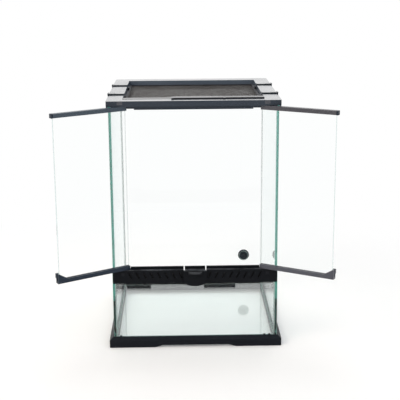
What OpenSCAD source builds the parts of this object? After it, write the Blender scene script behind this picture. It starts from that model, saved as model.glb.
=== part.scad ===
// Front-opening glass terrarium: glass box in a plastic base and top frame, two glass doors on
// pivots, a vent strip with a sliding lock, a lift-off screen cover and a rubber plug.
// +X is to the right, +Y to the back, +Z up. The origin is the middle of the footprint on the floor.

/* [Glass box] */
// Outer width of the glass box
glass_w = 300; // [296:1:304]
// Outer depth of the glass box
glass_d = 300; // [296:1:304]
// Thickness of the fixed panes
pane_t = 5; // [4:0.5:6]
// Silicone gap between neighbouring panes
seam_gap = 0.6; // [0.4:0.1:1]
// Leg of the silicone bead in an inner corner
bead = 1.8; // [1.2:0.2:4]

/* [Base frame] */
// How far the base stands out past the glass
base_out = 8; // [6:0.5:10]
// Height of the base frame
base_h = 19; // [18:0.5:21]
// Height at which the base's chamfer starts
base_chamfer_z = 13.6; // [12:0.2:15]
// Height of the seat that carries the glass
seat_z = 13; // [12:0.5:14]
// Width of the seat, inwards from the panes' outer faces
seat_w = 9; // [8:1:20]
// Width of the seat along the back
back_seat_w = 22; // [12:1:22]
// Ends of the two upright tabs behind the back pane
back_tabs = [[-142, -90], [23, 90]];
// Height of those tabs above the base
back_tab_h = 9; // [4:1:10]
// Height of the arch between the feet
arch_h = 4; // [2:0.5:6]
// Half length of the arch's flat top
arch_half = 61; // [50:1:80]

/* [Top frame] */
// Height of the top rim above the floor
rim_z = 455.3; // [452:0.1:458]
// How far the top frame's skirt stands out past the glass
skirt_out = 2.6; // [2:0.2:4]
// Height of the fascia above the door rails
fascia_h = 9.7; // [9:0.1:11]
// Bottom of the top frame
frame_z0 = 439; // [438:0.5:441]
// Half width of the screen recess
recess_half = 125; // [120:1:126]
// Front edge of the screen recess
recess_front = -135; // [-137:0.5:-133]
// Back edge of the screen recess
recess_back = 125; // [120:1:126]
// Top of the ledge that the screen rests on
ledge_z = 443.3; // [443:0.1:444]

/* [Doors] */
// Gap between the two closed doors
door_gap = 1.5; // [1:0.5:3]
// Distance of each pivot from the middle
pivot_x = 130.5; // [128:0.5:134]
// Depth position of the pivots
pivot_y = -155; // [-156:0.5:-154]
// Angle of the right door away from closed, as drawn
right_open = 149.5; // [0:0.5:165]
// Angle of the left door away from closed, as drawn
left_open = 147.3; // [0:0.1:165]
// Thickness of the door glass
door_t = 4; // [3:0.5:5]
// Thickness of the door rails
rail_t = 9.2; // [8:0.2:9.4]
// Height of the door rails
rail_h = 7.2; // [6.8:0.1:7.4]
// Radius of the hinge pins
pin_r = 2; // [1.5:0.1:2.4]
// Radial clearance of running fits
running = 0.05; // [0.03:0.01:0.08]
// Height of the triangular corner guard on the bottom rail
guard_h = 10; // [6:1:12]
// Length of the triangular corner guard
guard_l = 18; // [12:1:24]

/* [Vent strip and lock] */
// Bottom of the vent strip
strip_z0 = 123.6; // [122:0.2:125]
// Height of the ledge that the doors close over
strip_z1 = 148.2; // [147.8:0.1:148.3]
// Top of the lip behind the doors
lip_z = 153; // [151:0.5:154]
// Number of vent slots on each side
slot_count = 8; // [4:1:8]
// Distance between vent slots
slot_pitch = 13; // [11:0.5:13]
// Width of a vent slot
slot_w = 3; // [2:0.1:3.4]
// Height of a vent slot
slot_h = 13.2; // [8:0.2:13.6]
// Lean of the vent slots in degrees
slot_lean = 25; // [0:1:30]
// Half width of the lock's housing
lock_half = 21; // [20:0.5:21.5]
// Radius of the housing's round lower edge
belly_r = 40; // [32:1:60]
// Lowest point of the housing
belly_z = 119.4; // [118.6:0.2:121]
// Height of the lock's thumb ledge
thumb_z = 144; // [143:0.5:145]

/* [Screen cover] */
// Gap all round the screen cover
screen_gap = 0.5; // [0.4:0.1:1]
// Height of the screen's low bars
bar_h = 3.4; // [3:0.2:4]
// Width of the screen's low bars
bar_w = 3.6; // [3.4:0.2:13]
// Depth of the raised front bar
front_bar_d = 17.5; // [15:0.5:20]
// Height of the front bar's grip above the rim
grip_up = 2; // [1:0.5:3]
// Thickness of the wire mesh
mesh_t = 0.6; // [0.4:0.1:0.7]
// Number of openings across the plain grid that stands for the woven wire
mesh_cells = 12; // [4:1:12]
// Width of the bars between those openings
mesh_bar = 4; // [2:0.5:6]
// Depth positions of the two latches on each side
latch_y = [-70, 53];
// Width of a latch's top block
latch_w = 14; // [12:1:16]
// Height of a latch above the rim
latch_h = 2; // [1.8:0.1:4]

/* [Back plug] */
// Sideways position of the cable hole
plug_x = 107.8; // [90:0.2:115]
// Height of the cable hole
plug_z = 79.8; // [60:0.2:100]
// Radius of the hole in the back pane
hole_r = 9; // [8:0.5:12]
// Radius of the plug's flange
flange_r = 11.7; // [11:0.1:15]

/* [Hidden] */
$fn = 64;
eps = 0.01;
black = [0.10, 0.11, 0.13];
slate = [0.22, 0.25, 0.29];
rail_grey = [0.32, 0.33, 0.35];
clear_glass = [0.75, 0.88, 0.84, 0.35];
steel = [0.7, 0.7, 0.72];

gx = glass_w / 2;
gy = glass_d / 2;
in_x = gx - pane_t;
in_y = gy - pane_t;
base_x = gx + base_out;
base_y = gy + base_out;
front_y = -gy - base_out;          // front of base, vent strip and fascia
floor_top = seat_z + pane_t;
frame_x = gx + skirt_out;
frame_back = gy + skirt_out;
fascia_z0 = rim_z - fascia_h;      // underside of the fascia
pane_top = rim_z - 5.3;            // top of the fixed panes
lower_glass_top = strip_z0 + 8.4;
slack = 0.2;                       // gap of a pane in its groove
backrest_y = -gy + 0.1;            // face that the closed doors meet
door_end = in_x - 0.5;             // closed door's hinge end
tail = door_end - pivot_x;
rail_gap = 0.4;                    // gap above and below the doors
top_rail_z1 = fascia_z0 - rail_gap;
top_rail_z0 = top_rail_z1 - rail_h;
bottom_rail_z0 = strip_z1 + rail_gap;
bottom_rail_z1 = bottom_rail_z0 + rail_h;
groove_d = rail_h / 2;
glass_z0 = bottom_rail_z1 - groove_d + slack;
glass_z1 = top_rail_z0 + groove_d - slack;
cap_l = 3;
pin_in = groove_d - 0.2;           // length of a pin inside its rail
swing_r = tail + 1;                // space that a rail's tail needs
lip_half = 116.5;
lock_tab = 18.6;                   // half width of the lock's upper tab
notch = 2;                         // gap on each side of that tab
tongue_z0 = 130.5;
slit_z = 142;                      // bottom of the slits beside the lock's tab
tongue_y0 = pivot_y - rail_t / 2 - 2.6;
tongue_y1 = tongue_y0 + 2.1;
house_y0 = tongue_y0 - 2.05;
stem = 2;                          // half height of the lock's stem
screen_x = recess_half - screen_gap;
screen_y0 = recess_front + screen_gap;
screen_y1 = recess_back - screen_gap;
screen_z0 = ledge_z + 0.3;
bar_z1 = screen_z0 + bar_h;
retainer_w = 1.6;
flush_z = rim_z + 0.3;
mesh_z = screen_z0 + 1.2;
latch_x0 = recess_half - 0.1;
latch_x1 = frame_x + 2;
groove_z = rim_z - 2.7;
ear_top = groove_z - 0.4;
ear_t = 3.2;                       // thickness of the ears that the latches slide over

// Box between two corners
module block(lo, hi) {
    translate(lo) cube(hi - lo);
}

// The children and their mirror image on the left
module both_sides() {
    children();
    mirror([1, 0, 0]) children();
}

// Upright column with rounded corners, through all heights of a frame
module rounded_column(x, y0, y1, r, z0, z1) {
    block([-x, y0 + r, z0], [x, y1 - r, z1]);
    block([-x + r, y0, z0], [x - r, y1, z1]);
    for (sx = [-1, 1], y = [y0 + r, y1 - r])
        translate([sx * (x - r), y, z0]) cylinder(r = r, h = z1 - z0);
}

// Outline in the XZ plane, drawn out along Y
module along_y(y0, y1) {
    translate([0, y1, 0]) rotate([90, 0, 0]) linear_extrude(y1 - y0) children();
}

// Outline in the YZ plane, drawn out along X
module along_x(x0, x1) {
    translate([x0, 0, 0]) rotate([90, 0, 90]) linear_extrude(x1 - x0) children();
}

// Round bar along Y
module rod_y(x, z, y0, y1, r) {
    translate([x, y1, z]) rotate([90, 0, 0]) cylinder(r = r, h = y1 - y0);
}

// ---- base -------------------------------------------------------------------------------------

module base_section(half) {
    polygon([[-half, 0], [half, 0], [half, base_chamfer_z],
        [half - base_out + 1.6, base_h], [-half + base_out - 1.6, base_h], [-half, base_chamfer_z]]);
}

module arch_section() {
    polygon([[-arch_half - 13.5, -1], [-arch_half - 13.5, 0], [-arch_half, arch_h],
        [arch_half, arch_h], [arch_half + 13.5, 0], [arch_half + 13.5, -1]]);
}

module base_frame() {
    foot_w = 11;
    ledge_t = 3;
    relief = 5;
    color(black) {
        difference() {
            intersection() {
                along_y(-base_y - 1, base_y + 1) base_section(base_x);
                along_x(-base_x - 1, base_x + 1) base_section(base_y);
                rounded_column(base_x, -base_y, base_y, 3, -1, base_h + 1);
            }
            block([-gx - slack, -gy - slack, seat_z], [gx + slack, gy + slack, base_h + 1]);
            block([-gx + seat_w, -gy + seat_w, -1], [gx - seat_w, gy - back_seat_w, base_h]);
            block([-base_x + foot_w, -base_y + foot_w, -1],
                [base_x - foot_w, base_y - foot_w, seat_z - ledge_t]);
            along_y(-base_y - 1, -base_y + foot_w + 1) arch_section();
            // the other sides are only relieved from the outside, so their feet stay joined
            along_y(base_y - relief, base_y + 1) arch_section();
            both_sides() along_x(base_x - relief, base_x + 1) arch_section();
        }
        // small lugs on the front lip that steady the lower pane
        for (x = [-137, 127, 136])
            block([x - 2, -gy - 1.2, base_h], [x + 2, -gy - slack, base_h + 2.2]);
        for (tab = back_tabs)
            block([tab[0], gy + slack, seat_z], [tab[1], gy + slack + 2.4, base_h + back_tab_h]);
    }
}

// ---- glass ------------------------------------------------------------------------------------

module floor_glass() {
    color(clear_glass)
        block([-in_x + seam_gap, -in_y + seam_gap, seat_z], [in_x - seam_gap, in_y - seam_gap, floor_top]);
}

module side_pane() {
    block([in_x, -gy, seat_z], [gx, gy, pane_top]);
}

module left_side_glass() {
    color(clear_glass) mirror([1, 0, 0]) side_pane();
}

module right_side_glass() {
    color(clear_glass) side_pane();
}

module back_glass() {
    color(clear_glass) difference() {
        block([-in_x + seam_gap, in_y, seat_z], [in_x - seam_gap, gy, pane_top]);
        rod_y(plug_x, plug_z, in_y - 1, gy + 1, hole_r);
    }
}

module front_lower_glass() {
    color(clear_glass)
        block([-in_x + seam_gap, -gy, seat_z], [in_x - seam_gap, -in_y, lower_glass_top]);
}

// Concave bead in the corner at the origin, with legs along +X and +Y
module bead_section() {
    steps = 6;
    polygon(concat([[0, 0], [bead, 0]],
        [for (i = [1:steps - 1]) let (a = 90 * i / steps) [bead * (1 - sin(a)), bead * (1 - cos(a))]],
        [[0, bead]]));
}

module corner_seam(z0, z1) {
    block([in_x - seam_gap, in_y, z0], [in_x, gy, z1]);
    translate([in_x, in_y, z0]) rotate([0, 0, 180]) linear_extrude(z1 - z0) bead_section();
}

module silicone_seams() {
    color([0.15, 0.17, 0.17]) {
        both_sides() corner_seam(floor_top, frame_z0 - 1);
        both_sides() mirror([0, 1, 0]) corner_seam(floor_top, strip_z0 - 0.5);
        // joint round the floor, level with the floor glass
        difference() {
            block([-in_x, -in_y, seat_z], [in_x, in_y, floor_top]);
            block([-in_x + seam_gap, -in_y + seam_gap, seat_z - 1],
                [in_x - seam_gap, in_y - seam_gap, floor_top + 1]);
        }
    }
}

// ---- vent strip -------------------------------------------------------------------------------

module slot_shape() {
    square([slot_w, slot_h - slot_w], center = true);
    for (s = [-1, 1]) translate([0, s * (slot_h - slot_w) / 2]) circle(d = slot_w, $fn = 24);
}

module vent_slots() {
    first = 25.7;
    slot_z = 138.4;
    for (i = [0:slot_count - 1]) {
        x = first + i * slot_pitch;
        along_y(front_y - 1, front_y + 3) translate([x, slot_z]) rotate(-slot_lean) slot_shape();
        // the inner openings lie above the line of sight through the slots
        block([x - 2, -in_y - 1, strip_z1 - 6.6], [x + 2, -in_y + 4, strip_z1 - 3.4]);
    }
}

module vent_strip() {
    skin = 2.4;
    end_x = gx - 1.3;
    back_x = in_x - seam_gap;
    back_y0 = -in_y + slack;
    back_y1 = back_y0 + skin;
    color(black) difference() {
        union() {
            block([-end_x, front_y, strip_z0], [end_x, front_y + skin, strip_z1]);
            block([-end_x, front_y, strip_z1 - skin], [end_x, -gy - slack, strip_z1]);
            block([-end_x, front_y, strip_z0], [end_x, -gy - slack, strip_z0 + skin]);
            both_sides() block([end_x - skin, front_y, strip_z0], [end_x, -gy - slack, strip_z1]);
            // part between the side panes, folded over the lower pane
            block([-back_x, -gy - 1, strip_z1 - skin], [back_x, back_y1, strip_z1]);
            block([-back_x, back_y0, strip_z0], [back_x, back_y1, strip_z1]);
            block([-back_x, -gy - 2, lower_glass_top + slack],
                [back_x, back_y1, lower_glass_top + 2.2]);
            block([-back_x, -gy - 2.2, strip_z0], [back_x, -gy - slack, lower_glass_top + 2.2]);
            both_sides()
                block([lock_tab + notch, backrest_y, strip_z1 - 1], [lip_half, backrest_y + 2.7, lip_z]);
            // blocks that hold the lower hinge bushes
            both_sides()
                block([pivot_x - 6, front_y, lower_glass_top + 4], [pivot_x + 6, -gy - 0.5, strip_z1]);
        }
        both_sides() vent_slots();
        block([-lock_tab - 0.2, front_y - 1, strip_z1 - skin - 0.2],
            [lock_tab + 0.2, backrest_y + 2.9, lip_z + 1]);
        both_sides() {
            block([lock_tab, front_y - 1, strip_z1 - 0.8],
                [lock_tab + notch, front_y + skin + 0.1, lip_z + 1]);
            block([lock_tab, front_y + skin, slit_z], [lock_tab + notch, back_y1 + 1, lip_z + 1]);
            lower_bush_body(0);
            translate([pivot_x, pivot_y, lower_glass_top]) cylinder(r = 2.4, h = 20);
        }
    }
}

module vent_gauze() {
    color(rail_grey) both_sides()
        block([lock_tab + 4, front_y + 2.6, strip_z0 + 3.4], [lip_half + 5, front_y + 3, strip_z1 - 3.4]);
}

// Bush seated under the strip's ledge, with a boss that shows in the strip's face
module lower_bush_body(out) {
    block([pivot_x - 4, front_y + 1.2, lower_glass_top + 6.4], [pivot_x + 4, -gy - 2.6, strip_z1 - 2.4]);
    block([pivot_x - 2.8, front_y - out, lower_glass_top + 6.4],
        [pivot_x + 2.8, front_y + 1.3, lower_glass_top + 11.6]);
}

module lower_hinge_bushes() {
    color([0.45, 0.46, 0.48]) both_sides() difference() {
        lower_bush_body(0.3);
        translate([pivot_x, pivot_y, bottom_rail_z0 - 6]) cylinder(r = pin_r + running, h = 20);
    }
}

// ---- top frame --------------------------------------------------------------------------------

// Bush seated in the underside of the fascia, with a boss that shows in the fascia's face
module upper_bush_body() {
    block([pivot_x - 4.6, front_y + 0.4, fascia_z0], [pivot_x + 4.2, -gy - 0.8, fascia_z0 + 6.8]);
    block([pivot_x - 7, front_y - 0.3, fascia_z0 + 3.2], [pivot_x + 2.6, front_y + 1.4, fascia_z0 + 9]);
}

module upper_hinge_bushes() {
    color([0.6, 0.61, 0.64]) both_sides() difference() {
        upper_bush_body();
        translate([pivot_x, pivot_y, fascia_z0 - 1]) cylinder(r = pin_r + running, h = 6.6);
    }
}

module latch_groove(y) {
    along_x(recess_half - 1, frame_x + 1)
        polygon([[y - 5.3, groove_z], [y + 5.3, groove_z], [y + 4.3, rim_z + eps], [y - 4.3, rim_z + eps]]);
}

module top_frame() {
    ledge_w = 11;
    wall = 2.2;
    pocket_z = pane_top;
    color(slate) difference() {
        union() {
            rounded_column(frame_x, front_y, frame_back, 2.5, fascia_z0, rim_z);
            block([-frame_x, backrest_y, frame_z0], [frame_x, frame_back, fascia_z0 + 1]);
        }
        block([-recess_half, recess_front, ledge_z], [recess_half, recess_back, rim_z + 1]);
        block([-recess_half + ledge_w, recess_front + ledge_w, frame_z0 - 1],
            [recess_half - ledge_w, recess_back - ledge_w, rim_z]);
        // channels that drop over the panes
        both_sides()
            block([in_x - slack, -gy - slack, frame_z0 - 1], [gx + slack, gy + slack, pane_top + slack]);
        block([-gx, in_y - slack, frame_z0 - 1], [gx, gy + slack, pane_top + slack]);
        // hollow undersides of the side and back rims
        both_sides()
            block([recess_half + wall, -124, frame_z0 - 1], [in_x - slack - wall, in_y - 3, pocket_z]);
        block([-recess_half - wall, recess_back + wall, frame_z0 - 1],
            [recess_half + wall, in_y - slack - wall, pocket_z]);
        // thinner ends of the front bar, and room for the rails' tails
        both_sides() block([104, backrest_y - 1, frame_z0 - 1], [in_x, recess_front - 2, frame_z0 + 2]);
        both_sides() translate([pivot_x, pivot_y, frame_z0 - 1])
            cylinder(r = swing_r, h = fascia_z0 - frame_z0 + 1);
        both_sides() upper_bush_body();
        both_sides() for (y = latch_y) latch_groove(y);
    }
}

// ---- lock -------------------------------------------------------------------------------------

module lock_housing() {
    cavity_x = 15.6;
    play = 0.25;
    color(black) difference() {
        union() {
            intersection() {
                rod_y(0, belly_z + belly_r, house_y0, front_y, belly_r);
                block([-lock_half, house_y0 - 1, belly_z], [lock_half, front_y + 1, strip_z1]);
            }
            block([-lock_tab, front_y - 1, strip_z1 - 2.4], [lock_tab, backrest_y + 2.7, strip_z1]);
            block([-lock_tab, backrest_y, strip_z1 - 1], [lock_tab, backrest_y + 2.7, lip_z]);
        }
        block([-cavity_x, tongue_y0 - play, tongue_z0 - 0.5], [cavity_x, tongue_y1 + play, strip_z1 + 1]);
        block([-3.4, house_y0 - 1, thumb_z - stem - 0.3], [3.4, tongue_y0, strip_z1 + 1]);
    }
}

module lock_tongue() {
    color(slate) block([-15, tongue_y0, tongue_z0], [15, tongue_y1, strip_z1 - 0.4]);
}

// Half moon seen from above: straight against the housing, bulging to the front
module half_moon(half, depth) {
    steps = 16;
    polygon([for (i = [0:steps]) let (a = 180 * i / steps) [half * cos(a), -depth * sin(a)]]);
}

module lock_thumb_ledge() {
    root_y = house_y0 - 0.35;
    depth = 8;
    color(slate) {
        intersection() {
            translate([0, root_y, thumb_z - 4]) linear_extrude(8) half_moon(13, depth);
            along_x(-15, 15) polygon([[root_y, thumb_z - 2.6], [root_y, thumb_z + 3],
                [root_y - depth, thumb_z + 0.4], [root_y - depth, thumb_z - 0.6]]);
        }
        block([-3, root_y - 1, thumb_z - stem], [3, tongue_y0, thumb_z + stem]);
    }
}

// ---- doors, drawn closed on the right side -----------------------------------------------------

module swing(side, angle) {
    mirror([side < 0 ? 1 : 0, 0, 0]) translate([pivot_x, pivot_y, 0]) rotate([0, 0, angle])
        translate([-pivot_x, -pivot_y, 0]) children();
}

// Plan of a rail from x0 to the hinge end, which is rounded about the pivot
module rail_plan(x0) {
    translate([x0, pivot_y - rail_t / 2]) square([pivot_x - x0, rail_t]);
    intersection() {
        translate([pivot_x - 1, pivot_y - rail_t / 2]) square([tail + 1, rail_t]);
        translate([pivot_x, pivot_y]) circle(r = tail);
    }
}

module rail_groove(z0, z1) {
    block([-1, pivot_y - door_t / 2 - 0.05, z0], [door_end + 1, pivot_y + door_t / 2 + 0.05, z1]);
}

module top_rail_closed() {
    difference() {
        translate([0, 0, top_rail_z0]) linear_extrude(rail_h) rail_plan(door_gap / 2 + cap_l);
        rail_groove(top_rail_z0 - 1, top_rail_z0 + groove_d);
        translate([pivot_x, pivot_y, top_rail_z1 - pin_in]) cylinder(r = pin_r, h = 10);
    }
}

module bottom_rail_closed() {
    free = door_gap / 2;
    difference() {
        union() {
            translate([0, 0, bottom_rail_z0]) linear_extrude(rail_h) rail_plan(free);
            along_y(pivot_y - rail_t / 2, pivot_y + rail_t / 2)
                polygon([[free, bottom_rail_z1 - 1], [free + guard_l + 2, bottom_rail_z1 - 1],
                    [free + guard_l, bottom_rail_z1], [free + 1.5, bottom_rail_z1 + guard_h],
                    [free, bottom_rail_z1 + guard_h]]);
        }
        rail_groove(bottom_rail_z1 - groove_d, bottom_rail_z1 + guard_h + 1);
        translate([pivot_x, pivot_y, bottom_rail_z0 - 1]) cylinder(r = pin_r, h = pin_in + 1);
    }
}

module door_glass_closed() {
    block([door_gap / 2 + cap_l + 0.2, pivot_y - door_t / 2, glass_z0],
        [door_end - 1.2, pivot_y + door_t / 2, glass_z1]);
}

module rail_cap_closed() {
    block([door_gap / 2, pivot_y - rail_t / 2, top_rail_z0 - 0.4],
        [door_gap / 2 + cap_l, pivot_y + rail_t / 2, top_rail_z1]);
}

// Rounded tab on the outer face of the corner guard
module finger_pull_closed() {
    face = pivot_y - rail_t / 2;
    out = 4.4;
    translate([0, 0, bottom_rail_z1 + 1.4]) linear_extrude(7.6) {
        translate([door_gap / 2, face - out + 2.2]) square([6.4, out - 2.2]);
        translate([door_gap / 2 + 2.2, face - out]) square([2, out]);
        for (x = [2.2, 4.2]) translate([door_gap / 2 + x, face - out + 2.2]) circle(r = 2.2, $fn = 32);
    }
}

module hinge_pins_closed() {
    translate([pivot_x, pivot_y, top_rail_z1 - pin_in]) cylinder(r = pin_r, h = pin_in + 5.2);
    translate([pivot_x, pivot_y, bottom_rail_z0 - 5.6]) cylinder(r = pin_r, h = pin_in + 5.6);
}

module left_door_glass() { color(clear_glass) swing(-1, left_open) door_glass_closed(); }
module left_top_rail() { color(rail_grey) swing(-1, left_open) top_rail_closed(); }
module left_bottom_rail() { color(rail_grey) swing(-1, left_open) bottom_rail_closed(); }
module left_rail_cap() { color(black) swing(-1, left_open) rail_cap_closed(); }
module left_finger_pull() { color(black) swing(-1, left_open) finger_pull_closed(); }
module left_hinge_pins() { color(steel) swing(-1, left_open) hinge_pins_closed(); }
module right_door_glass() { color(clear_glass) swing(1, right_open) door_glass_closed(); }
module right_top_rail() { color(rail_grey) swing(1, right_open) top_rail_closed(); }
module right_bottom_rail() { color(rail_grey) swing(1, right_open) bottom_rail_closed(); }
module right_rail_cap() { color(black) swing(1, right_open) rail_cap_closed(); }
module right_finger_pull() { color(black) swing(1, right_open) finger_pull_closed(); }
module right_hinge_pins() { color(steel) swing(1, right_open) hinge_pins_closed(); }

// ---- screen cover -----------------------------------------------------------------------------

module screen_opening(z0, z1) {
    block([-screen_x + bar_w, screen_y0 + front_bar_d, z0], [screen_x - bar_w, screen_y1 - bar_w, z1]);
}

module screen_frame() {
    grips = [[-34.8, 51.9], [56.2, screen_x]];
    tabs = [-36.8, 54];
    color(black) difference() {
        union() {
            block([-screen_x, screen_y0, screen_z0], [screen_x, screen_y1, bar_z1]);
            block([-screen_x, screen_y0, screen_z0], [screen_x, screen_y0 + front_bar_d, flush_z]);
            for (g = grips)
                block([g[0], screen_y0, flush_z - 1], [g[1], screen_y0 + front_bar_d, rim_z + grip_up]);
            for (x = tabs)
                block([x - 2, screen_y0 - 3, flush_z], [x + 2, screen_y0 + front_bar_d, rim_z + grip_up]);
            both_sides() for (y = latch_y)
                block([screen_x - ear_t, y - 5, bar_z1 - 1], [screen_x, y + 5, ear_top]);
        }
        screen_opening(screen_z0 - 1, bar_z1 + 10);
        block([-screen_x + 2.4, screen_y0 + front_bar_d - 3, mesh_z - 0.1],
            [screen_x - 2.4, screen_y1 - 2.4, mesh_z + mesh_t + 0.1]);
        // hollow underside of the front bar
        block([-screen_x + 2.4, screen_y0 + 2.4, screen_z0 - 1],
            [screen_x - 2.4, screen_y0 + front_bar_d - 5.4, flush_z - 2.4]);
    }
}

module screen_mesh() {
    x0 = -screen_x + bar_w + retainer_w;
    y0 = screen_y0 + front_bar_d + retainer_w;
    step_x = -2 * x0 / mesh_cells;
    step_y = (screen_y1 - bar_w - retainer_w - y0) / mesh_cells;
    color([0.35, 0.34, 0.33]) difference() {
        block([-screen_x + 2.6, screen_y0 + front_bar_d - 2.8, mesh_z],
            [screen_x - 2.6, screen_y1 - 2.6, mesh_z + mesh_t]);
        for (i = [0:mesh_cells - 1], j = [0:mesh_cells - 1])
            translate([x0 + (i + 0.5) * step_x, y0 + (j + 0.5) * step_y, mesh_z])
                cube([step_x - mesh_bar, step_y - mesh_bar, 4 * mesh_t], center = true);
    }
}

// Thin strip that presses the mesh down along the inner edge of the bars
module mesh_retainer() {
    z0 = mesh_z + mesh_t;
    color(black) difference() {
        screen_opening(z0, z0 + 1.2);
        block([-screen_x + bar_w + retainer_w, screen_y0 + front_bar_d + retainer_w, z0 - 1],
            [screen_x - bar_w - retainer_w, screen_y1 - bar_w - retainer_w, z0 + 2]);
    }
}

module latch(y) {
    ribs = 4;
    top = rim_z + latch_h;
    along_x(latch_x0, latch_x1)
        polygon([[y - 4.95, groove_z + 0.3], [y + 4.95, groove_z + 0.3], [y + 4, rim_z],
            [y + 4, rim_z + 0.35], [y + latch_w / 2, rim_z + 0.35], [y + latch_w / 2, top - 1],
            [y + latch_w / 2 - 1, top], [y - latch_w / 2 + 1, top], [y - latch_w / 2, top - 1],
            [y - latch_w / 2, rim_z + 0.35], [y - 4, rim_z + 0.35], [y - 4, rim_z]]);
    for (i = [0:ribs - 1])
        block([latch_x1 - 13 + 2.6 * i, y - latch_w / 2 + 1.5, top - 0.5],
            [latch_x1 - 11.8 + 2.6 * i, y + latch_w / 2 - 1.5, top + 0.35]);
    block([latch_x1 - 2.4, y - latch_w / 2 - 0.6, rim_z + 0.35],
        [latch_x1, y + latch_w / 2 + 0.6, top + 0.8]);
}

module left_front_latch() { color(black) mirror([1, 0, 0]) latch(latch_y[0]); }
module left_back_latch() { color(black) mirror([1, 0, 0]) latch(latch_y[1]); }
module right_front_latch() { color(black) latch(latch_y[0]); }
module right_back_latch() { color(black) latch(latch_y[1]); }

// ---- back plug --------------------------------------------------------------------------------

module back_plug() {
    color([0.08, 0.09, 0.11]) difference() {
        union() {
            rod_y(plug_x, plug_z, in_y - 0.6, gy + 0.4, hole_r - running);
            rod_y(plug_x, plug_z, gy + 0.3, gy + 3.4, flange_r);
        }
        rod_y(plug_x, plug_z, in_y - 1.6, in_y + 1.4, hole_r - 3);
    }
}

base_frame();
floor_glass();
left_side_glass();
right_side_glass();
back_glass();
front_lower_glass();
silicone_seams();
vent_strip();
vent_gauze();
top_frame();
upper_hinge_bushes();
lower_hinge_bushes();
lock_housing();
lock_tongue();
lock_thumb_ledge();
left_door_glass();
left_top_rail();
left_bottom_rail();
left_rail_cap();
left_finger_pull();
left_hinge_pins();
right_door_glass();
right_top_rail();
right_bottom_rail();
right_rail_cap();
right_finger_pull();
right_hinge_pins();
screen_frame();
screen_mesh();
mesh_retainer();
left_front_latch();
left_back_latch();
right_front_latch();
right_back_latch();
back_plug();
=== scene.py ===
from math import cos, pi, radians, sin

import bpy
from mathutils import Matrix, Vector, noise


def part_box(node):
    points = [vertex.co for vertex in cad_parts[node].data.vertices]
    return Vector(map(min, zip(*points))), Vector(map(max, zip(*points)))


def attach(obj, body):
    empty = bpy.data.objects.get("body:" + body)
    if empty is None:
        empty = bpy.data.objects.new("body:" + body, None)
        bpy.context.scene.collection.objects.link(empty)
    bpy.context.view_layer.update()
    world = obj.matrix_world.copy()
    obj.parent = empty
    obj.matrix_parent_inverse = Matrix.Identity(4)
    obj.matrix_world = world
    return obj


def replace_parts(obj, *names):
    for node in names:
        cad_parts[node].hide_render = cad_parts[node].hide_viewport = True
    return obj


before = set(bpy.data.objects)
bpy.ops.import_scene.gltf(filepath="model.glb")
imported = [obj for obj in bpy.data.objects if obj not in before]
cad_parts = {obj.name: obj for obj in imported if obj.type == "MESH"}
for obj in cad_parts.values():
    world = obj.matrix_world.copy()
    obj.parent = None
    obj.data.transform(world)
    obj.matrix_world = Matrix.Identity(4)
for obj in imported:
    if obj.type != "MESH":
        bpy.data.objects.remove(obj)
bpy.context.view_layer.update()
scene = bpy.context.scene
scene.view_settings.view_transform = "Standard"
mm = 0.001
print("frame loaded:", len(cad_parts), "nodes")


def tint(code):
    # "#rrggbb" as a linear colour
    parts = [int(code[i:i + 2], 16) / 255 for i in (1, 3, 5)]
    return tuple(p / 12.92 if p <= 0.04045 else ((p + 0.055) / 1.055) ** 2.4 for p in parts) + (1.0,)


# shader nodes, with plain values and links by the name or place of a socket

def put(tree, kind, inputs=None, **settings):
    node = tree.nodes.new("ShaderNode" + kind)
    for key, value in settings.items():
        setattr(node, key, value)
    for key, value in (inputs or {}).items():
        if isinstance(value, bpy.types.NodeSocket):
            tree.links.new(value, node.inputs[key])
        else:
            node.inputs[key].default_value = value
    return node


def calc(tree, operation, first, second=0.0, clamp=False):
    return put(tree, "Math", {0: first, 1: second}, operation=operation, use_clamp=clamp).outputs[0]


def vectorCalc(tree, operation, *vectors):
    outputs = put(tree, "VectorMath", dict(enumerate(vectors)), operation=operation).outputs
    return outputs["Value"] if operation in ("DOT_PRODUCT", "LENGTH") else outputs[0]


def remap(tree, value, low, high, toLow=0.0, toHigh=1.0, kind="LINEAR"):
    inputs = {"Value": value, "From Min": low, "From Max": high, "To Min": toLow, "To Max": toHigh}
    return put(tree, "MapRange", inputs, interpolation_type=kind).outputs[0]


def blend(tree, share, first, second):
    return put(tree, "Mix", {"Factor": share, 6: first, 7: second}, data_type="RGBA").outputs[2]


def mixShaders(tree, share, first, second):
    return put(tree, "MixShader", {0: share, 1: first.outputs[0], 2: second.outputs[0]})


def bumps(tree, height, strength, distance):
    return put(tree, "Bump", {"Height": height, "Strength": strength, "Distance": distance}).outputs[0]


def clouds(tree, place, scale, detail, **more):
    return put(tree, "TexNoise", {"Vector": place, "Scale": scale, "Detail": detail, **more}).outputs["Fac"]


def sides(tree, vector):
    return put(tree, "SeparateXYZ", {0: vector}).outputs


def objectPlace(tree):
    return put(tree, "TexCoord").outputs["Object"]


def faceNormal(tree):
    return put(tree, "NewGeometry").outputs["Normal"]


def startGroup(name, inputs, outputs):
    # an empty node group with named sockets
    group = bpy.data.node_groups.new(name, "ShaderNodeTree")
    for label, kind, value in inputs:
        socket = group.interface.new_socket(name=label, in_out="INPUT", socket_type="NodeSocket" + kind)
        socket.default_value = value
    for label, kind in outputs:
        group.interface.new_socket(name=label, in_out="OUTPUT", socket_type="NodeSocket" + kind)
    return group, group.nodes.new("NodeGroupInput").outputs


def closeGroup(group, results):
    # joins the results to the outputs
    end = group.nodes.new("NodeGroupOutput")
    for label, socket in results.items():
        group.links.new(socket, end.inputs[label])
    return group


def useGroup(tree, group, inputs):
    return put(tree, "Group", inputs, node_tree=group).outputs


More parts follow.
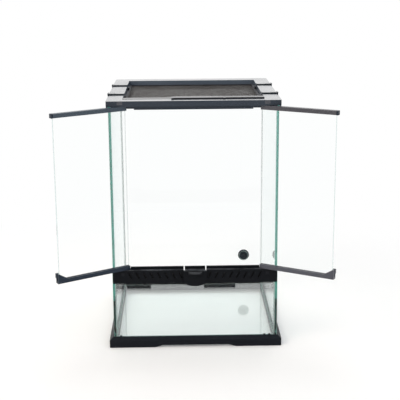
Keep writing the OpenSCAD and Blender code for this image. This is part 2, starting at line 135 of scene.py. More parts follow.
def startMaterial(name):
    material = bpy.data.materials.new(name)
    material.use_nodes = True
    material.node_tree.nodes.clear()
    return material, material.node_tree


def meshPiece(name, points, faces, material, body, smooth=True):
    # a finished mesh from points in mm, riding on its body
    mesh = bpy.data.meshes.new(name)
    mesh.from_pydata([Vector(p) * mm for p in points], [], faces)
    mesh.validate()
    mesh.polygons.foreach_set("use_smooth", [smooth] * len(mesh.polygons))
    mesh.materials.append(material)
    piece = bpy.data.objects.new(name, mesh)
    scene.collection.objects.link(piece)
    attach(piece, body)
    return piece


rounding = {
    "weld": 0.005,   # mm
    "angle": 32,     # degrees, flatter edges stay as they are
    "weight": 60,    # how much the large faces set the shading
}


def soften(piece, width, segments, edgeMaterial, s):
    # rounds the sharp edges
    weld = piece.modifiers.new("weld", "WELD")
    weld.merge_threshold = s["weld"] * mm
    bevel = piece.modifiers.new("roundEdges", "BEVEL")
    bevel.width = width * mm
    bevel.segments = segments
    bevel.limit_method = "ANGLE"
    bevel.angle_limit = radians(s["angle"])
    bevel.miter_outer = "MITER_ARC"
    bevel.material = edgeMaterial
    shade = piece.modifiers.new("evenShading", "WEIGHTED_NORMAL")
    shade.weight = s["weight"]


def dress(node, materials, width, segments=2):
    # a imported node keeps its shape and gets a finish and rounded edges
    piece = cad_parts[node]
    for place in piece.material_slots:
        place.material = materials[0]
    if not piece.material_slots:
        piece.data.materials.append(materials[0])
    for extra in materials[1:]:
        piece.data.materials.append(extra)
    soften(piece, width, segments, len(materials) - 1, rounding)
    return piece


cameraSetup = {
    "place": (-24.7, -1843.2, 699.3),              # mm
    "turn": 1.169, "dip": 14.026, "roll": 0.395,   # degrees
    "lens": 88.21, "sensor": 36,                   # mm
}


def addCamera(s):
    turn, dip, roll = (radians(s[key]) for key in ("turn", "dip", "roll"))
    ahead = Vector((sin(turn) * cos(dip), cos(turn) * cos(dip), -sin(dip)))
    right = Vector((cos(turn), -sin(turn), 0))
    down = ahead.cross(right)
    rolledRight = cos(roll) * right + sin(roll) * down
    rolledDown = -sin(roll) * right + cos(roll) * down
    data = bpy.data.cameras.new("camera")
    data.lens = s["lens"]
    data.sensor_width = s["sensor"]
    camera = bpy.data.objects.new("camera", data)
    scene.collection.objects.link(camera)
    axes = Matrix((rolledRight, -rolledDown, -ahead)).transposed().to_4x4()
    camera.matrix_world = Matrix.Translation(Vector(s["place"]) * mm) @ axes
    bpy.context.scene.camera = camera


addCamera(cameraSetup)

studio = {
    "daylight": 0.55,                                 # light of the surroundings on matt surfaces
    "frontLeft": "#97a2ae", "frontRight": "#4c5057",  # what gloss shows of the room in front
    "sideways": (-0.14, 0.16),                        # where the left tone turns into the right one
    "ahead": (-0.3, -0.8),                            # where white turns into the room in front
    "floorReach": 4.0,                                # m
    "floorTone": "#f4f4f3", "floorRough": 0.9, "floorShine": 0.1,
    "floorGrain": 900.0, "grainDetail": 2.0, "grainStrength": 0.05, "grainHeight": 0.0002,
    "floorLift": 0.13,                                # keeps the open floor close to the backdrop's white
    "fade": (0.22, 0.85),                             # m from the middle, where the floor turns into backdrop
    "aim": (0, 0, 0.25),
    "lamps": {                                        # place, size, power and colour
        "keyLamp": ((-1.5, -1.35, 1.7), 1.2, 26, "#fff1e6"),
        "fillLamp": ((1.9, -1.6, 1.5), 1.3, 7, "#cfe2ff"),
        "topLamp": ((0.2, 1.1, 2.6), 1.6, 24, "#ffffff"),
    },
}
white = (1, 1, 1, 1)


def seenDirectly(tree):
    # 1 where the eye, a reflection or a view through glass meets the surface
    path = put(tree, "LightPath").outputs
    either = calc(tree, "MAXIMUM", path["Is Camera Ray"], path["Is Glossy Ray"])
    return calc(tree, "MAXIMUM", either, path["Is Transmission Ray"])


def addSurroundings(s):
    world = bpy.data.worlds.new("studioAir")
    world.use_nodes = True
    tree = world.node_tree
    tree.nodes.clear()
    # white all round, but a polished face that looks to the front shows a dimmer room
    direction = sides(tree, put(tree, "TexCoord").outputs["Generated"])
    sideways = remap(tree, direction["X"], *s["sideways"], kind="SMOOTHSTEP")
    room = blend(tree, sideways, tint(s["frontLeft"]), tint(s["frontRight"]))
    ahead = remap(tree, direction["Y"], *s["ahead"], kind="SMOOTHSTEP")
    shine = blend(tree, ahead, white, room)
    gloss = put(tree, "LightPath").outputs["Is Glossy Ray"]
    shown = blend(tree, gloss, white, shine)
    plain = put(tree, "Background", {"Color": shown, "Strength": 1.0})
    soft = put(tree, "Background", {"Color": white, "Strength": s["daylight"]})
    put(tree, "OutputWorld", {"Surface": mixShaders(tree, seenDirectly(tree), soft, plain).outputs[0]})
    scene.world = world


def addFloor(s):
    reach = s["floorReach"]
    mesh = bpy.data.meshes.new("studioFloor")
    corners = [(-reach, -reach, 0), (reach, -reach, 0), (reach, reach, 0), (-reach, reach, 0)]
    mesh.from_pydata(corners, [], [(0, 1, 2, 3)])
    floor = bpy.data.objects.new("studioFloor", mesh)
    scene.collection.objects.link(floor)
    material, tree = startMaterial("paperFloor")
    place = objectPlace(tree)
    grain = clouds(tree, place, s["floorGrain"], s["grainDetail"])
    normal = bumps(tree, grain, s["grainStrength"], s["grainHeight"])
    paper = put(tree, "BsdfPrincipled", {
        "Base Color": tint(s["floorTone"]), "Roughness": s["floorRough"],
        "Specular IOR Level": s["floorShine"], "Normal": normal})
    lift = put(tree, "Emission", {"Color": white, "Strength": s["floorLift"]})
    lifted = put(tree, "AddShader", {0: paper.outputs[0], 1: lift.outputs[0]})
    backdrop = put(tree, "Emission", {"Color": white, "Strength": 1.0})
    fade = remap(tree, vectorCalc(tree, "LENGTH", place), *s["fade"], kind="SMOOTHSTEP")
    faded = mixShaders(tree, fade, lifted, backdrop)
    put(tree, "OutputMaterial", {"Surface": mixShaders(tree, seenDirectly(tree), paper, faded).outputs[0]})
    mesh.materials.append(material)


def addLamps(s):
    for name, (place, size, power, colour) in s["lamps"].items():
        data = bpy.data.lights.new(name, "AREA")
        data.shape = "SQUARE"
        data.size = size
        data.energy = power
        data.color = tint(colour)[:3]
        lamp = bpy.data.objects.new(name, data)
        scene.collection.objects.link(lamp)
        lamp.location = place
        aim = Vector(s["aim"]) - Vector(place)
        lamp.rotation_mode = "QUATERNION"
        lamp.rotation_quaternion = aim.to_track_quat("-Z", "Y")
        lamp.visible_camera = False
        lamp.visible_transmission = False


addSurroundings(studio)
addFloor(studio)
addLamps(studio)
print("camera, light and floor are in place")


grainLook = {
    "fineDetail": 3.0, "speck": (0.5, 0.75), "speckShare": 0.6,
    "broadScale": 9.0, "broadDetail": 4.0, "broadRough": 0.62,
    "cloud": (0.4, 0.7), "cloudShare": 0.5, "dulled": (0.35, 0.7),
}


def makeMouldGrain(s):
    # spark-eroded plastic skin: speckled colour, uneven shine and a fine relief
    group, given = startGroup("mouldGrain", [
        ("Colour", "Color", (0.02, 0.02, 0.02, 1)), ("Speckle", "Color", (0.04, 0.04, 0.04, 1)),
        ("Grain Scale", "Float", 1800.0), ("Smooth", "Float", 0.3), ("Dull", "Float", 0.45),
    ], [("Colour", "Color"), ("Roughness", "Float"), ("Height", "Float")])
    place = objectPlace(group)
    fine = clouds(group, place, given["Grain Scale"], s["fineDetail"])
    broad = clouds(group, place, s["broadScale"], s["broadDetail"], Roughness=s["broadRough"])
    speck = remap(group, fine, *s["speck"], toHigh=s["speckShare"])
    cloud = remap(group, broad, *s["cloud"], toHigh=s["cloudShare"])
    both = calc(group, "ADD", speck, cloud, clamp=True)
    return closeGroup(group, {
        "Colour": blend(group, both, given["Colour"], given["Speckle"]),
        "Roughness": remap(group, broad, *s["dulled"], given["Smooth"], given["Dull"]),
        "Height": fine})


rubLook = {
    "samples": 4, "turned": (0.97, 0.8),   # how far a face turns at an edge, as a cosine
    "patchScale": 60.0, "patchDetail": 5.0, "worn": (0.42, 0.62),
}


def makeEdgeRub(s):
    # pale rubbed line along outside edges, broken up by noise
    group, given = startGroup("edgeRub", [
        ("Colour", "Color", (0.02, 0.02, 0.02, 1)), ("Rubbed", "Color", (0.1, 0.1, 0.1, 1)),
        ("Width", "Float", 0.0008), ("Amount", "Float", 0.5),
    ], [("Colour", "Color"), ("Mask", "Float")])
    rounded = put(group, "Bevel", {"Radius": given["Width"]}, samples=s["samples"]).outputs[0]
    match = vectorCalc(group, "DOT_PRODUCT", rounded, faceNormal(group))
    turned = remap(group, match, *s["turned"])
    worn = remap(group, clouds(group, objectPlace(group), s["patchScale"], s["patchDetail"]), *s["worn"])
    mask = calc(group, "MULTIPLY", turned, worn)
    share = calc(group, "MULTIPLY", mask, given["Amount"], clamp=True)
    return closeGroup(group, {"Colour": blend(group, share, given["Colour"], given["Rubbed"]), "Mask": share})


dustAndSheenLook = {"lying": (0.6, 1.0), "patchDetail": 6.0, "spread": (0.35, 0.7)}


def makeDustAndSheen(s):
    # thin dust on faces that look up; larger amounts also stand in for the sheen on top faces, as painted
    # sheen
    group, given = startGroup("dustAndSheen", [
        ("Amount", "Float", 0.1), ("Patch Scale", "Float", 30.0),
    ], [("Mask", "Float")])
    lying = remap(group, sides(group, faceNormal(group))["Z"], *s["lying"])
    patches = clouds(group, objectPlace(group), given["Patch Scale"], s["patchDetail"])
    mask = calc(group, "MULTIPLY", lying, remap(group, patches, *s["spread"]))
    return closeGroup(group, {"Mask": calc(group, "MULTIPLY", mask, given["Amount"], clamp=True)})


polishLook = {
    "flat": (0.7, 0.95), "cloudScale": 16.0, "cloudDetail": 4.0, "wiped": (0.3, 0.5), "leastWiped": 0.75,
}


def makeTopPolish(s):
    # faces that look up, above a height: the top of the frame is moulded shinier than its walls
    group, given = startGroup("topPolish", [
        ("Above", "Float", 0.45), ("Amount", "Float", 1.0),
    ], [("Mask", "Float")])
    flat = remap(group, sides(group, faceNormal(group))["Z"], *s["flat"])
    place = objectPlace(group)
    high = calc(group, "GREATER_THAN", sides(group, place)["Z"], given["Above"])
    cloud = clouds(group, place, s["cloudScale"], s["cloudDetail"])
    wiped = remap(group, cloud, *s["wiped"], toLow=s["leastWiped"])
    patchy = calc(group, "MULTIPLY", calc(group, "MULTIPLY", flat, high), wiped)
    return closeGroup(group, {"Mask": calc(group, "MULTIPLY", patchy, given["Amount"], clamp=True)})


def makeBoxZone():
    # 1 inside a box of the model: its middle, and half its size
    group, given = startGroup("boxZone", [
        ("Middle", "Vector", (0, 0, 0)), ("Half Size", "Vector", (0.1, 0.1, 0.1)),
    ], [("Mask", "Float")])
    offset = vectorCalc(group, "SUBTRACT", objectPlace(group), given["Middle"])
    distance = vectorCalc(group, "ABSOLUTE", offset)
    beyond = sides(group, vectorCalc(group, "SUBTRACT", distance, given["Half Size"]))
    most = calc(group, "MAXIMUM", calc(group, "MAXIMUM", beyond["X"], beyond["Y"]), beyond["Z"])
    return closeGroup(group, {"Mask": calc(group, "LESS_THAN", most, 0.0)})


cutLook = {"across": (0.3, 0.1), "down": (-0.5, -0.9)}   # cosines of a face against the pane and upwards


def makeCutEdge(s):
    # faces across the thickness of a pane show its own green, and the one it stands on is left sawn
    group, given = startGroup("cutEdge", [
        ("Face", "Color", (1, 1, 1, 1)), ("Edge", "Color", (0.2, 0.45, 0.4, 1)),
        ("Thickness Axis", "Vector", (1, 0, 0)),
    ], [("Colour", "Color"), ("Sawn", "Float")])
    normal = faceNormal(group)
    facing = calc(group, "ABSOLUTE", vectorCalc(group, "DOT_PRODUCT", normal, given["Thickness Axis"]))
    share = remap(group, facing, *s["across"])
    down = remap(group, sides(group, normal)["Z"], *s["down"])
    return closeGroup(group, {
        "Colour": blend(group, share, given["Face"], given["Edge"]),
        "Sawn": calc(group, "MULTIPLY", down, share)})


filmLook = {"smearDetail": 5.0, "distortion": 1.2, "smear": (0.55, 0.8), "waveScale": 5.0, "waveDetail": 1.0}


def makeGlassFilm(s):
    # wiped glass: faint smears in the polish and the slow waviness of float glass
    group, given = startGroup("glassFilm", [
        ("Clean", "Float", 0.0), ("Smeared", "Float", 0.05), ("Smear Scale", "Float", 14.0),
    ], [("Roughness", "Float"), ("Height", "Float")])
    place = objectPlace(group)
    smear = clouds(group, place, given["Smear Scale"], s["smearDetail"], Distortion=s["distortion"])
    return closeGroup(group, {
        "Roughness": remap(group, smear, *s["smear"], given["Clean"], given["Smeared"]),
        "Height": clouds(group, place, s["waveScale"], s["waveDetail"])})


metalLook = {
    "streakDetail": 4.0, "streak": (0.3, 0.7), "roughness": (0.28, 0.5),
    "stainScale": 22.0, "stainDetail": 5.0, "stain": (0.4, 0.65),
}


def makeDrawnMetal(s):
    # drawn metal: fine streaks and stains
    group, given = startGroup("drawnMetal", [
        ("Colour", "Color", (0.3, 0.3, 0.3, 1)), ("Stain", "Color", (0.15, 0.13, 0.12, 1)),
        ("Streak Scale", "Float", 400.0),
    ], [("Colour", "Color"), ("Roughness", "Float"), ("Height", "Float")])
    place = objectPlace(group)
    streak = clouds(group, place, given["Streak Scale"], s["streakDetail"])
    stain = remap(group, clouds(group, place, s["stainScale"], s["stainDetail"]), *s["stain"])
    return closeGroup(group, {
        "Colour": blend(group, stain, given["Colour"], given["Stain"]),
        "Roughness": remap(group, streak, *s["streak"], *s["roughness"]),
        "Height": streak})


mouldGrain = makeMouldGrain(grainLook)
edgeRub = makeEdgeRub(rubLook)
dustAndSheen = makeDustAndSheen(dustAndSheenLook)
topPolish = makeTopPolish(polishLook)
boxZone = makeBoxZone()
cutEdge = makeCutEdge(cutLook)
glassFilm = makeGlassFilm(filmLook)
drawnMetal = makeDrawnMetal(metalLook)


def plastic(name, s):
    material, tree = startMaterial(name)
    tones = {key: tint(s[key]) for key in ("colour", "speckle")}
    if "paintedLight" in s:
        # painted light and shade: one box of the piece gets a tone of its own
        paintedLight = useGroup(tree, boxZone, {"Middle": s["paintedLight"]["middle"], "Half Size": s["paintedLight"]["half"]})
        tones = {key: blend(tree, paintedLight["Mask"], tones[key], tint(s["paintedLight"][key])) for key in tones}
    grain = useGroup(tree, mouldGrain, {
        "Colour": tones["colour"], "Speckle": tones["speckle"], "Grain Scale": s["grainScale"],
        "Smooth": s["smooth"], "Dull": s["dull"]})
    rub = useGroup(tree, edgeRub, {
        "Colour": grain["Colour"], "Rubbed": tint(s["rubbed"]), "Width": s["rubWidth"], "Amount": s["rub"]})
    # settled dust, and painted sheen on top faces where the amount is large
    dustSheen = useGroup(tree, dustAndSheen, {"Amount": s["dustSheen"]})
    normal = bumps(tree, grain["Height"], s["relief"], s["grainHeight"])
    shader = put(tree, "BsdfPrincipled", {
        "Base Color": blend(tree, dustSheen["Mask"], rub["Colour"], tint(s["dustSheenTone"])),
        "Roughness": grain["Roughness"], "Normal": normal, "Specular IOR Level": s["shine"],
        "Coat Roughness": s["coatRoughness"]})
    if "polishAbove" in s:
        polish = useGroup(tree, topPolish, {"Above": s["polishAbove"], "Amount": s["polish"]})
        tree.links.new(polish["Mask"], shader.inputs["Coat Weight"])
    put(tree, "OutputMaterial", {"Surface": shader.outputs[0]})
    return material


moulded = {
    "grainScale": 2200.0, "grainHeight": 0.00015, "smooth": 0.34, "dull": 0.5, "relief": 0.25,
    "rubWidth": 0.0006, "rub": 0.4, "dustSheen": 0.02, "dustSheenTone": "#a9b0b8", "coatRoughness": 0.1, "polish": 1.0}
extruded = {**moulded, "grainScale": 1300.0, "smooth": 0.3, "dull": 0.42, "dustSheen": 0.03, "relief": 0.14}
nylon = {
    **moulded, "grainScale": 1500.0, "smooth": 0.35, "rubWidth": 0.0005, "rub": 0.3, "dustSheen": 0.03,
    "relief": 0.2}
plastics = {
    "satinBlack": {   # rail caps and pulls
        **moulded, "colour": "#2a323c", "speckle": "#343c47", "rubbed": "#2d3138", "shine": 0.1},
    "baseBlack": {   # base, with painted shade: near-black under the back of the glass
        **moulded, "colour": "#16191f", "speckle": "#1f2329", "rubbed": "#2d3138", "shine": 0.09,
        "paintedLight": {"middle": (0, 0.145, 0.014), "half": (0.1503, 0.008, 0.0145), "colour": "#040506",
                 "speckle": "#070809"}},
    "stripBlack": {   # vent strip and lock; faces that look up, the ledge among them, are paler: settled dust and painted sheen
        **moulded, "colour": "#101216", "speckle": "#17191d", "rubbed": "#2a2d33", "shine": 0.08,
        "rubWidth": 0.0005, "rub": 0.3, "dustSheen": 0.26},
    "glossBlack": {   # top frame, with painted light: the walls round the screen painted paler
        **moulded, "colour": "#353c45", "speckle": "#3f4751", "rubbed": "#565c64", "shine": 0.2,
        "grainScale": 700.0, "smooth": 0.14, "dull": 0.26, "rub": 0.3, "relief": 0.03,
        "polishAbove": 0.45, "coatRoughness": 0.05,
        "paintedLight": {"middle": (0, -0.005, 0.46), "half": (0.1255, 0.1305, 0.0164), "colour": "#57616d",
                 "speckle": "#626d79"}},
    "screenBlack": {   # lift-off cover
        **moulded, "colour": "#2b2b2f", "speckle": "#36363a", "rubbed": "#44454a", "shine": 0.15,
        "grainScale": 1600.0, "smooth": 0.42, "dull": 0.6, "rub": 0.3, "dustSheen": 0.06, "relief": 0.12,
        "polishAbove": 0.4535, "polish": 0.8, "coatRoughness": 0.12},
    "latchBlack": {
        **moulded, "colour": "#1c2429", "speckle": "#262e34", "rubbed": "#55606a", "shine": 0.3,
        "grainScale": 1600.0, "smooth": 0.16, "dull": 0.3, "rubWidth": 0.0005, "rub": 0.5, "dustSheen": 0.03,
        "relief": 0.1, "polishAbove": 0.45, "coatRoughness": 0.06},
    "railLitRightTop": {   # right top rail; the four rails are lit and shaded copies of one plastic, painted light and shade
        **extruded, "colour": "#45444a", "speckle": "#525156", "rubbed": "#7d7f84", "shine": 0.45},
    "railLitRightBottom": {   # right bottom rail, a painted-light copy of the same plastic
        **extruded, "colour": "#494b54", "speckle": "#55575f", "rubbed": "#77787c", "shine": 0.4},
    "railLitLeftTop": {   # left top rail, painted cool light: a bluer copy of the same plastic
        **extruded, "colour": "#3a4753", "speckle": "#475460", "rubbed": "#75808a", "shine": 0.45},
    "railShadedLeftBottom": {   # left bottom rail, painted shade: a darker copy of the same plastic
        **extruded, "colour": "#1c2837", "speckle": "#263241", "rubbed": "#4d5158", "shine": 0.25},
    "bushNylon": {   # upper hinge bushes
        **nylon, "colour": "#4b4d53", "speckle": "#57595f", "rubbed": "#9c9ea1", "shine": 0.4},
    "bushDark": {   # lower hinge bushes
        **nylon, "colour": "#17181c", "speckle": "#1f2126", "rubbed": "#34363a", "shine": 0.12},
    "tongueSlate": {   # sliding lock tongue and thumb ledge; faces that look up a little paler: settled dust and painted sheen
        **moulded, "colour": "#15171b", "speckle": "#1e2025", "rubbed": "#34363b", "shine": 0.12,
        "grainScale": 1900.0, "smooth": 0.3, "dull": 0.44, "rub": 0.5, "dustSheen": 0.06, "relief": 0.16},
    "plugRubber": {
        **nylon, "colour": "#1c232b", "speckle": "#262e37", "rubbed": "#2c2f33", "shine": 0.4,
        "smooth": 0.34, "dustSheen": 0.06, "relief": 0.3},
}
finish = {name: plastic(name, settings) for name, settings in plastics.items()}

floatGlass = {
    "ior": 1.5,
    "surface": "#ffffff", "cutEdge": "#55a798",
    "lampTint": "#f3f6f6",      # what lamps lose on their way through a pane
    "absorbColour": (0.10, 0.62, 0.54, 1),   # what is left in a long path through the pane
    "absorbDensity": 5.0,       # 1/m
    "clean": 0.0, "smeared": 0.03, "sawnRoughness": 0.5,
    "waviness": 0.04, "waveHeight": 0.0005,
    "trappedAfter": 2.5,        # reflections inside a pane
}


def clearGlass(name, s, thicknessAxis):
    material, tree = startMaterial(name)
    edge = useGroup(tree, cutEdge, {
        "Face": tint(s["surface"]), "Edge": tint(s["cutEdge"]), "Thickness Axis": thicknessAxis})
    film = useGroup(tree, glassFilm, {"Clean": s["clean"], "Smeared": s["smeared"]})
    sawn = calc(tree, "MULTIPLY", edge["Sawn"], s["sawnRoughness"])
    normal = bumps(tree, film["Height"], s["waviness"], s["waveHeight"])
    body = put(tree, "BsdfPrincipled", {
        "Base Color": edge["Colour"], "Roughness": calc(tree, "MAXIMUM", film["Roughness"], sawn),
        "Normal": normal, "IOR": s["ior"], "Transmission Weight": 1.0})
    # lamps shine through, and so does light that has bounced about inside a pane
    lampLight = put(tree, "BsdfTransparent", {"Color": tint(s["lampTint"])})
    path = put(tree, "LightPath").outputs
    trapped = calc(tree, "GREATER_THAN", path["Glossy Depth"], s["trappedAfter"])
    passing = calc(tree, "MAXIMUM", path["Is Shadow Ray"], trapped)
    surface = mixShaders(tree, passing, body, lampLight)
    depth = put(tree, "VolumeAbsorption", {"Color": s["absorbColour"], "Density": s["absorbDensity"]})
    put(tree, "OutputMaterial", {"Surface": surface.outputs[0], "Volume": depth.outputs[0]})
    return material


sideGlass = clearGlass("sideGlass", floatGlass, (1, 0, 0))
uprightGlass = clearGlass("uprightGlass", floatGlass, (0, 1, 0))
lyingGlass = clearGlass("lyingGlass", floatGlass, (0, 0, 1))
# the low front pane and the back pane mirror less, so pale reflections don't veil the inside
quietGlass = clearGlass("quietGlass", {**floatGlass, "ior": 1.2}, (0, 1, 0))


def grainySolid(name, s):
    # a see-through solid with a fine grain: ground glass or sealant
    material, tree = startMaterial(name)
    grain = useGroup(tree, mouldGrain, {
        "Colour": tint(s["colour"]), "Speckle": tint(s["speckle"]), "Grain Scale": s["grainScale"],
        "Smooth": s["smooth"], "Dull": s["dull"]})
    normal = bumps(tree, grain["Height"], s["relief"], s["grainHeight"])
    shader = put(tree, "BsdfPrincipled", {
        "Base Color": grain["Colour"], "Roughness": grain["Roughness"], "Normal": normal,
        **s["plain"]})
    put(tree, "OutputMaterial", {"Surface": shader.outputs[0]})
    return material


edgeFrost = grainySolid("groundEdge", {   # narrow ground bevel along a pane's edges, a little green
    "colour": "#a9c9c0", "speckle": "#d3e2dd", "grainScale": 3000.0, "smooth": 0.4, "dull": 0.55,
    "relief": 0.2, "grainHeight": 0.0001, "plain": {"Transmission Weight": 0.75, "IOR": 1.5}})
siliconeClear = grainySolid("clearSilicone", {   # milky clear sealant
    "colour": "#c3c9c8", "speckle": "#d9dddc", "grainScale": 500.0, "smooth": 0.25, "dull": 0.4,
    "relief": 0.3, "grainHeight": 0.0002, "plain": {"IOR": 1.41, "Alpha": 0.3}})


def metal(name, s):
    material, tree = startMaterial(name)
    drawn = useGroup(tree, drawnMetal, {
        "Colour": tint(s["colour"]), "Stain": tint(s["stain"]), "Streak Scale": s["streakScale"]})
    normal = bumps(tree, drawn["Height"], s["relief"], s["streakHeight"])
    shader = put(tree, "BsdfPrincipled", {
        "Base Color": drawn["Colour"], "Roughness": drawn["Roughness"], "Normal": normal,
        "Metallic": s["metallic"]})
    put(tree, "OutputMaterial", {"Surface": shader.outputs[0]})
    return material


drawnWire = {"streakScale": 900.0, "streakHeight": 0.00005, "relief": 0.15}
metals = {
    "pinSteel": {**drawnWire, "colour": "#b4b5b8", "stain": "#8b8a8b", "metallic": 1.0},
    "screenWire": {**drawnWire, "colour": "#5b5957", "stain": "#4a4644", "metallic": 0.7,
                   "streakScale": 500.0},
    "gauzeWire": {**drawnWire, "colour": "#0e0f11", "stain": "#090a0b", "metallic": 0.2},
}
finish.update({name: metal(name, settings) for name, settings in metals.items()})
print("finishes made:", len(bpy.data.materials))

nodeFinish = {   # finish, and the width of the rounded edges in mm
    "base_frame": ("baseBlack", 0.8), "vent_strip": ("stripBlack", 0.35),
    "lock_housing": ("stripBlack", 0.5), "top_frame": ("glossBlack", 0.6),
    "screen_frame": ("screenBlack", 0.5), "mesh_retainer": ("screenBlack", 0.3),
    "lock_tongue": ("tongueSlate", 0.3), "lock_thumb_ledge": ("tongueSlate", 0.6),
    "upper_hinge_bushes": ("bushNylon", 0.4), "lower_hinge_bushes": ("bushDark", 0.3),
    "left_front_latch": ("latchBlack", 0.35), "left_back_latch": ("latchBlack", 0.35),
    "right_front_latch": ("latchBlack", 0.35), "right_back_latch": ("latchBlack", 0.35),
    "left_top_rail": ("railLitLeftTop", 0.6), "left_bottom_rail": ("railShadedLeftBottom", 0.6),
    "right_top_rail": ("railLitRightTop", 0.6), "right_bottom_rail": ("railLitRightBottom", 0.6),
}
for side in ("left", "right"):
    nodeFinish[side + "_rail_cap"] = ("satinBlack", 0.6)
    nodeFinish[side + "_finger_pull"] = ("satinBlack", 0.6)
    nodeFinish[side + "_hinge_pins"] = ("pinSteel", 0.3)
for node, (name, width) in nodeFinish.items():
    dress(node, [finish[name]], width)

paneEdges = {
    "arris": 0.5,     # mm, ground bevel
    "airGap": 0.03,   # mm, keeps a pane's faces clear of what it touches
}
panes = {
    "floor_glass": lyingGlass, "left_side_glass": sideGlass, "right_side_glass": sideGlass,
    "back_glass": quietGlass, "front_lower_glass": quietGlass, "left_door_glass": uprightGlass,
    "right_door_glass": uprightGlass,
}
for node, glass in panes.items():
    pane = dress(node, [glass, edgeFrost], paneEdges["arris"], segments=1)
    if glass != sideGlass:
        clearance = pane.modifiers.new("airGap", "DISPLACE")
        clearance.strength = -paneEdges["airGap"] * mm
        clearance.mid_level = 0.0
print("packed nodes dressed:", len(nodeFinish) + len(panes))


def boxInMm(node):
    low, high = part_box(node)
    return low / mm, high / mm


def wovenWire(name, s, material, body, box, across, along, out):
    # crimped square-sectioned wires over and under each other, in the plane given by two axes
    low, high = box
    points, faces = [], []
    corners = [pi / 4 + k * pi / 2 for k in range(4)]

    def layWires(first, second, start):
        lanes = int((high - low).dot(first) / s["pitch"])
        steps = int((high - low).dot(second) / s["pitch"])
        for lane in range(lanes + 1):
            base = low + first * (lane * s["pitch"] + s["inset"])
            for step in range(steps + 1):
                lift = s["crimp"] * (1 if (lane + step + start) % 2 else -1)
                centre = base + second * (step * s["pitch"] + s["inset"]) + out * lift
                points.extend(centre + (first * cos(a) + out * sin(a)) * s["radius"] for a in corners)
                if step:
                    top = len(points) - 4
                    faces.extend((top - 4 + k, top - 4 + (k + 1) % 4, top + (k + 1) % 4, top + k)
                                 for k in range(4))
            ends = len(points) - 4 * (steps + 1)
            faces.append((ends + 3, ends + 2, ends + 1, ends))
            faces.append(tuple(len(points) - 4 + k for k in range(4)))

    layWires(across, along, 0)
    layWires(along, across, 1)
    return meshPiece(name, points, faces, material, body)


axisX = Vector((1, 0, 0))
axisY = Vector((0, 1, 0))
axisZ = Vector((0, 0, 1))
screenWeave = {"pitch": 2.4, "inset": 0.6, "radius": 0.28, "crimp": 0.16}   # mm


def addScreenMesh(s):
    low, high = boxInMm("screen_mesh")
    low.z = high.z = (low.z + high.z) / 2
    box = (low, high)
    woven = wovenWire("wovenScreen", s, finish["screenWire"], "screen_cover", box, axisX, axisY, axisZ)
    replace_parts(woven, "screen_mesh")


addScreenMesh(screenWeave)

gauzeWeave = {
    "pitch": 0.9, "inset": 0.3, "radius": 0.26, "crimp": 0.1,   # mm
    "innerEnd": 22.6,   # mm from the middle, where each half starts
}


def addGauze(s):
    low, high = boxInMm("vent_gauze")
    middle = (low.y + high.y) / 2
    halves = {"ventGauzeRight": (s["innerEnd"], high.x), "ventGauzeLeft": (low.x, -s["innerEnd"])}
    made = []
    for name, (left, right) in halves.items():
        box = (Vector((left, middle, low.z)), Vector((right, middle, high.z)))
        made.append(wovenWire(name, s, finish["gauzeWire"], "tank", box, axisX, axisZ, axisY))
    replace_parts(made[0], "vent_gauze")


addGauze(gauzeWeave)
print("woven wire laid")

seams = {
    "leg": 1.8, "gap": 0.6,                # mm, bead in the corner and the joint between the panes
    "wander": 0.3, "wanderLength": 37,     # mm
    "apart": (3.1, 5.7),                   # gives each corner a wander of its own
    "ring": 12.0,                          # mm between outlines
    "turns": (0.0, 0.26, 0.52, 0.79, 1.05, 1.31, pi / 2),   # round the hollow face of the bead
    "underFrame": 1.0, "underStrip": 0.5,  # mm, ends below the top frame and the vent strip
    "hollow": 0.25,                        # mm, dip in the joint round the floor pane
}


def addCornerSeams(s):
    inX = boxInMm("right_side_glass")[0].x
    outY = boxInMm("right_side_glass")[1].y
    inY = boxInMm("back_glass")[0].y
    bottom = boxInMm("floor_glass")[1].z
    tops = {1: boxInMm("top_frame")[0].z - s["underFrame"], -1: boxInMm("vent_strip")[0].z - s["underStrip"]}
    size = 3 + len(s["turns"])   # points in one outline
    points, faces = [], []

    def corner(sideX, sideY):
        top = tops[sideY]
        count = int((top - bottom) / s["ring"]) + 1
        first = len(points)
        for ring in range(count + 1):
            z = bottom + (top - bottom) * ring / count
            drift = noise.noise(Vector((sideX * s["apart"][0], sideY * s["apart"][1], z / s["wanderLength"])))
            leg = s["leg"] + s["wander"] * drift
            outline = [(0.0, outY - inY), (s["gap"], outY - inY), (s["gap"], 0.0)]
            outline += [(leg * (1 - sin(a)), -leg * (1 - cos(a))) for a in s["turns"]]
            points.extend((sideX * (inX - u), sideY * (inY + v), z) for u, v in outline)
        for ring in range(count):
            for k in range(size):
                a = first + ring * size + k
                b = first + ring * size + (k + 1) % size
                quad = (a, b, b + size, a + size)
                faces.append(quad if sideX * sideY > 0 else quad[::-1])
        start = tuple(first + k for k in range(size))
        end = tuple(len(points) - size + k for k in range(size))
        faces.append(start[::-1] if sideX * sideY > 0 else start)
        faces.append(end if sideX * sideY > 0 else end[::-1])

    for sideX in (-1, 1):
        corner(sideX, 1)
        corner(sideX, -1)
    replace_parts(meshPiece("cornerSeams", points, faces, siliconeClear, "tank"), "silicone_seams")


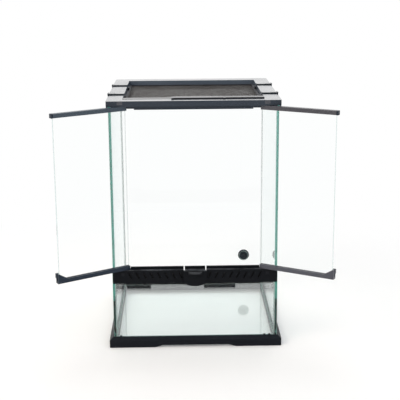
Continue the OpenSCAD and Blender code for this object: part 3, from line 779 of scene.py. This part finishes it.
def addFloorJoint(s):
    # a ring round the floor pane, a little hollow on top
    low, high = boxInMm("floor_glass")
    outer = (boxInMm("right_side_glass")[0].x, boxInMm("back_glass")[0].y)
    outline = ((low.z, 0.0), (high.z, 0.0), (high.z - s["hollow"], 0.5), (high.z, 1.0), (low.z, 1.0))
    points, faces = [], []
    for z, share in outline:
        x = outer[0] + (high.x - outer[0]) * share
        y = outer[1] + (high.y - outer[1]) * share
        points += [(-x, -y, z), (x, -y, z), (x, y, z), (-x, y, z)]
    for ring in range(len(outline)):
        after = (ring + 1) % len(outline)
        for k in range(4):
            faces.append((ring * 4 + k, ring * 4 + (k + 1) % 4, after * 4 + (k + 1) % 4, after * 4 + k))
    meshPiece("floorJoint", points, faces, siliconeClear, "tank", smooth=False)


addCornerSeams(seams)
addFloorJoint(seams)
print("silicone drawn")

plug = {
    "x": 107.8, "z": 79.8,   # mm
    # radius and depth from the pane's inner face, from the middle of the inner side outwards and round
    "profile": [
        (0, 1.5), (1.2, 1.5), (1.6, 0.9), (2.2, 0.9), (2.6, 1.7), (5.2, 1.9), (6.0, 1.2), (6.4, 0.1),
        (6.9, -0.35), (7.9, -0.45), (8.6, -0.1), (8.92, 0.5), (8.92, 4.9), (9.3, 5.25), (11.2, 5.3),
        (11.65, 5.7), (11.7, 6.4), (11.65, 7.5), (11.2, 8.15), (10.2, 8.35), (8.2, 8.35), (7.6, 7.9),
        (6.8, 7.9), (6.2, 8.3), (2.0, 8.35), (1.4, 7.6), (0, 7.5)],
    "sides": 48,
}


def addPlug(s):
    innerFace = boxInMm("back_glass")[0].y
    rings = s["profile"][1:-1]
    n = s["sides"]
    points = [(s["x"], innerFace + s["profile"][0][1], s["z"])]
    for radius, depth in rings:
        for k in range(n):
            a = 2 * pi * k / n
            points.append((s["x"] + radius * cos(a), innerFace + depth, s["z"] + radius * sin(a)))
    points.append((s["x"], innerFace + s["profile"][-1][1], s["z"]))
    faces = [(0, 1 + k, 1 + (k + 1) % n) for k in range(n)]
    for ring in range(len(rings) - 1):
        start = 1 + ring * n
        faces += [(start + k, start + n + k, start + n + (k + 1) % n, start + (k + 1) % n) for k in range(n)]
    last = 1 + (len(rings) - 1) * n
    faces += [(last + (k + 1) % n, last + k, len(points) - 1) for k in range(n)]
    piece = meshPiece("rubberPlug", points, faces, finish["plugRubber"], "plug")
    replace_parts(piece, "back_plug")


addPlug(plug)
print("plug turned")
